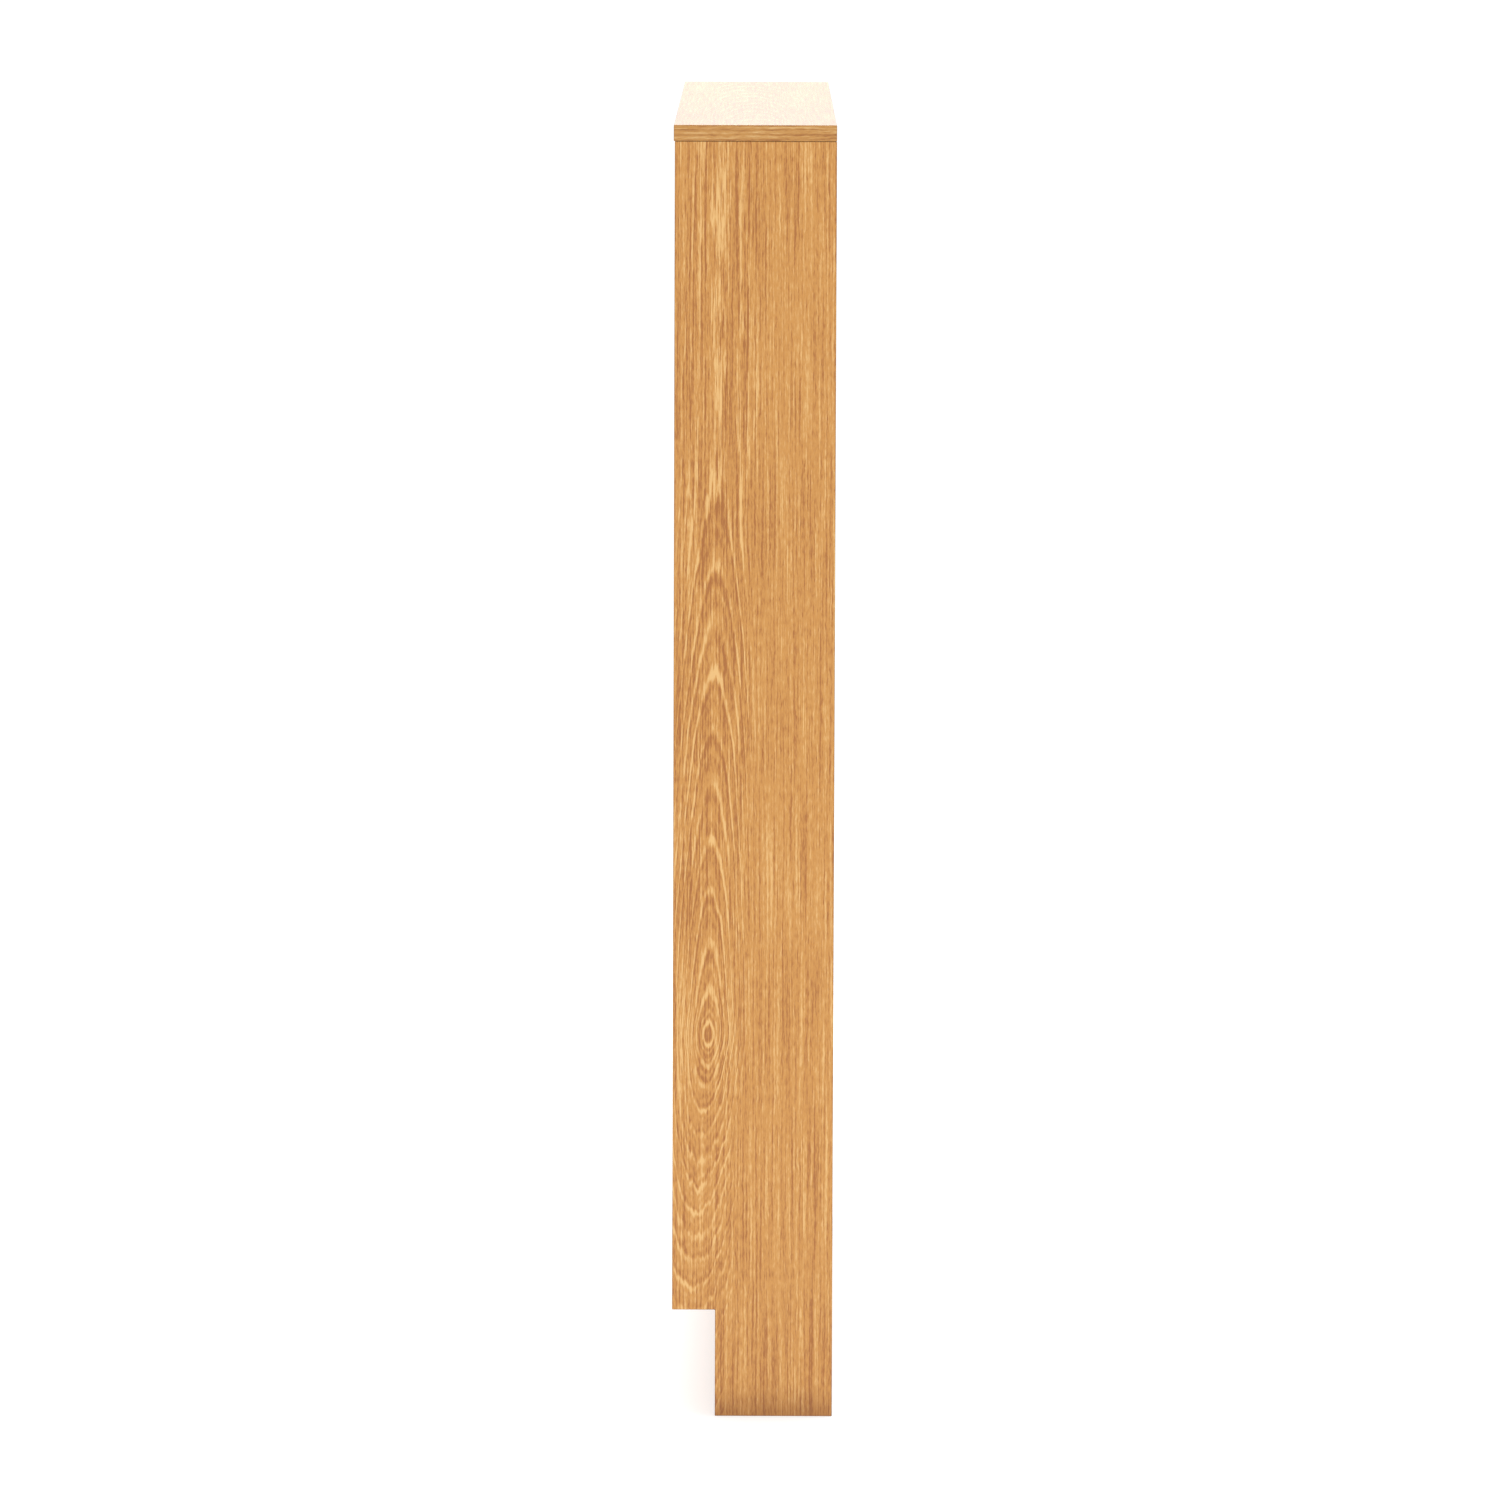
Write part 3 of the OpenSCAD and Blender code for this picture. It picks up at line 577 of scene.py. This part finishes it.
def soften_edges(thing, width):
    """Rounds the sharp edges of a CAD solid for rendering; its own mesh stays as it is."""
    weld = thing.modifiers.new("weld", "WELD")
    weld.merge_threshold = 0.002 * MM
    bevel = thing.modifiers.new("edges", "BEVEL")
    bevel.width = width
    bevel.segments = 2
    bevel.limit_method = "ANGLE"
    bevel.angle_limit = math.radians(50)
    bevel.use_clamp_overlap = False
    bevel.loop_slide = False
    bevel.harden_normals = True


def dress(node, material):
    thing = NODES[node]
    thing.data.materials.clear()
    thing.data.materials.append(material)


# ---------- detailed pieces ----------

def mesh_piece(name, fill, body, slot, replaced):
    """A new mesh piece: fill(bm) draws it, and it stands for the replaced CAD node."""
    bm = bmesh.new()
    fill(bm)
    bmesh.ops.recalc_face_normals(bm, faces=bm.faces)
    for face in bm.faces:
        face.smooth = True
    data = bpy.data.meshes.new(name)
    bm.to_mesh(data)
    bm.free()
    data.set_sharp_from_angle(angle=math.radians(40))
    data.materials.append(MATERIALS[slot])
    piece = bpy.data.objects.new(name, data)
    bpy.context.scene.collection.objects.link(piece)
    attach(piece, body)
    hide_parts(replaced)


def bridge_rings(bm, rings):
    """Joins closed rings of points into a skin, with a cap on the first and the last."""
    loops = [[bm.verts.new(p) for p in ring] for ring in rings]
    count = len(loops[0])
    for one, two in zip(loops, loops[1:]):
        for i in range(count):
            j = (i + 1) % count
            bm.faces.new((one[i], one[j], two[j], two[i]))
    bm.faces.new(loops[0])
    bm.faces.new(list(reversed(loops[-1])))


def stadium(centre, half_w, half_l, y, arc=20):
    """Outline of a slot with round ends, long side up, in the plane at y."""
    points = []
    straight = half_l - half_w
    for side in (1, -1):
        for i in range(arc + 1):
            angle = math.pi * i / arc + (0 if side > 0 else math.pi)
            points.append((centre.x + half_w * math.cos(angle), y,
                           centre.z + side * straight + half_w * math.sin(angle)))
    return points


def quarter_round(inset, y, radius, rise, steps):
    """A quarter circle round (inset, y) in a profile, from its smallest inset to its end, which
    is above y where rise is 1 and below it where rise is -1."""
    angles = [math.pi / 2 * k / steps for k in range(steps + 1)]
    return [(inset - radius * math.cos(angle), y + rise * radius * math.sin(angle))
            for angle in angles]


def finger_pull(side):
    """A pressed cup with a rolled flange, let into the door. Its profile is a list of
    (inset from the flange's outline, y), from the cup's back over the flange to its floor."""
    node = f"{side}_door_pull"
    low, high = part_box(node)
    centre = (low + high) / 2
    half_w = (high.x - low.x) / 2
    half_l = (high.z - low.z) / 2
    door_face = low.y + 0.8 * MM
    cup = 2.0 * MM
    wall = 1.0 * MM
    roll = 0.4 * MM
    fillet = 3.0 * MM
    lip = cup + wall
    floor_y = high.y - wall
    profile = [(cup + 1.5 * MM, high.y), (cup + 0.3 * MM, high.y - 0.3 * MM), (cup, high.y - 1.5 * MM)]
    profile += [(cup, door_face), (0.0, door_face)]
    profile += quarter_round(roll, low.y + roll, roll, -1, 3)
    profile += [(lip - roll, low.y + 0.02 * MM), (lip - 0.1 * MM, low.y + roll), (lip, low.y + 2 * roll)]
    profile += quarter_round(lip + fillet, floor_y - fillet, fillet, 1, 6)
    rings = [stadium(centre, half_w - inset, half_l - inset, y) for inset, y in profile]
    mesh_piece(f"{side}_pull_cup", lambda bm: bridge_rings(bm, rings), f"{side}_door", "pull_metal", node)


def loose_solids(node):
    """The (low, high) box of each separate solid in a CAD node."""
    bm = bmesh.new()
    bm.from_mesh(NODES[node].data)
    bmesh.ops.remove_doubles(bm, verts=bm.verts, dist=0.002 * MM)
    bm.verts.ensure_lookup_table()
    seen = set()
    boxes = []
    for start in bm.verts:
        if start in seen:
            continue
        group = [start]
        seen.add(start)
        for vert in group:
            for edge in vert.link_edges:
                other = edge.other_vert(vert)
                if other not in seen:
                    seen.add(other)
                    group.append(other)
        low = Vector(min(v.co[k] for v in group) for k in range(3))
        high = Vector(max(v.co[k] for v in group) for k in range(3))
        boxes.append((low, high))
    bm.free()
    return boxes


# A bumper's outline, as shares of its radius and of its height.
DOME_PROFILE = ((1.0, 0.0), (1.0, 0.25), (0.95, 0.5), (0.84, 0.72), (0.65, 0.88), (0.36, 0.98), (0.1, 1.0))
DOME_SIDES = 32


def fill_domes(bm):
    for low, high in loose_solids("door_bumpers"):
        centre = (low + high) / 2
        inward = -1 if centre.x > 0 else 1
        root = high.x if inward < 0 else low.x
        height = high.x - low.x
        radius = (high.z - low.z) / 2
        rings = []
        for share, rise in DOME_PROFILE:
            angles = [2 * math.pi * i / DOME_SIDES for i in range(DOME_SIDES)]
            rings.append([(root + inward * height * rise,
                           centre.y + radius * share * math.cos(angle),
                           centre.z + radius * share * math.sin(angle)) for angle in angles])
        bridge_rings(bm, rings)


# ---------- stage ----------

def floor():
    g = Graph("pale_floor")
    haze = g.noise(g.object_place(), (0.4, 0.4, 0.4), 2.0)
    material = g.finish(colour=g.mix(g.math("ADD", 0.5, haze), FLOOR_DARK, FLOOR_LIGHT), rough=0.9,
                        specular=0.0, glow_colour=WHITE, glow=FLOOR_GLOW)
    bm = bmesh.new()
    bmesh.ops.create_circle(bm, cap_ends=True, radius=FLOOR_RADIUS, segments=96)
    data = bpy.data.meshes.new("floor")
    bm.to_mesh(data)
    bm.free()
    data.materials.append(material)
    thing = bpy.data.objects.new("floor", data)
    thing.location.z = -FLOOR_DROP
    bpy.context.scene.collection.objects.link(thing)


def area_light(name, place, target, size, power):
    data = bpy.data.lights.new(name, "AREA")
    data.shape = "RECTANGLE"
    data.size, data.size_y = size
    data.energy = power
    lamp = bpy.data.objects.new(name, data)
    lamp.location = place
    lamp.rotation_mode = "QUATERNION"
    lamp.rotation_quaternion = (Vector(target) - Vector(place)).to_track_quat("-Z", "Y")
    bpy.context.scene.collection.objects.link(lamp)


def white_room():
    world = bpy.data.worlds.new("white_studio")
    world.use_nodes = True
    background = world.node_tree.nodes["Background"]
    background.inputs["Color"].default_value = WHITE
    background.inputs["Strength"].default_value = WORLD_LIGHT
    bpy.context.scene.world = world


def camera():
    low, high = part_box("side_panel_right")
    data = bpy.data.cameras.new("camera")
    data.lens = CAMERA_LENS
    data.clip_start, data.clip_end = CAMERA_CLIP
    thing = bpy.data.objects.new("camera", data)
    bpy.context.scene.collection.objects.link(thing)
    bpy.context.scene.camera = thing
    inward = Vector((-1, 0, 0))
    right = Vector((0, 1, 0))
    up = Vector((0, 0, 1))
    ahead = inward * math.cos(CAMERA_YAW) + right * math.sin(CAMERA_YAW)
    aside = right * math.cos(CAMERA_YAW) - inward * math.sin(CAMERA_YAW)
    forward = ahead * math.cos(CAMERA_PITCH) - up * math.sin(CAMERA_PITCH)
    above = ahead * math.sin(CAMERA_PITCH) + up * math.cos(CAMERA_PITCH)
    camera_right = aside * math.cos(CAMERA_ROLL) + above * math.sin(CAMERA_ROLL)
    camera_up = above * math.cos(CAMERA_ROLL) - aside * math.sin(CAMERA_ROLL)
    place = Vector((high.x + CAMERA_DISTANCE, CAMERA_SIDE_STEP, CAMERA_HEIGHT))
    turn = Matrix((camera_right, camera_up, -forward)).transposed()
    thing.matrix_world = Matrix.Translation(place) @ turn.to_4x4()


# ---------- build ----------

MATERIALS = slot_materials()
for node, (make_board, figures) in BOARDS.items():
    dress(node, oak(f"oak_{node}", make_board(node), figures))
    soften_edges(NODES[node], EDGE_RADIUS)
for node, figures in BACK_SHEETS.items():
    dress(node, back_sheet(f"pressed_fibre_{node}", upright_x(node), figures))
for node, slot in SLOT_OF.items():
    if slot in MATERIALS:
        dress(node, MATERIALS[slot])
for node in SOFTENED_NODES:
    soften_edges(NODES[node], METAL_EDGE_RADIUS)
for side in ("right", "left"):
    finger_pull(side)
mesh_piece("bumper_domes", fill_domes, "carcass", "soft_rubber", "door_bumpers")
floor()
white_room()
for name, lamp in LAMPS.items():
    area_light(name, **lamp)
camera()
bpy.context.scene.view_settings.view_transform = "Standard"
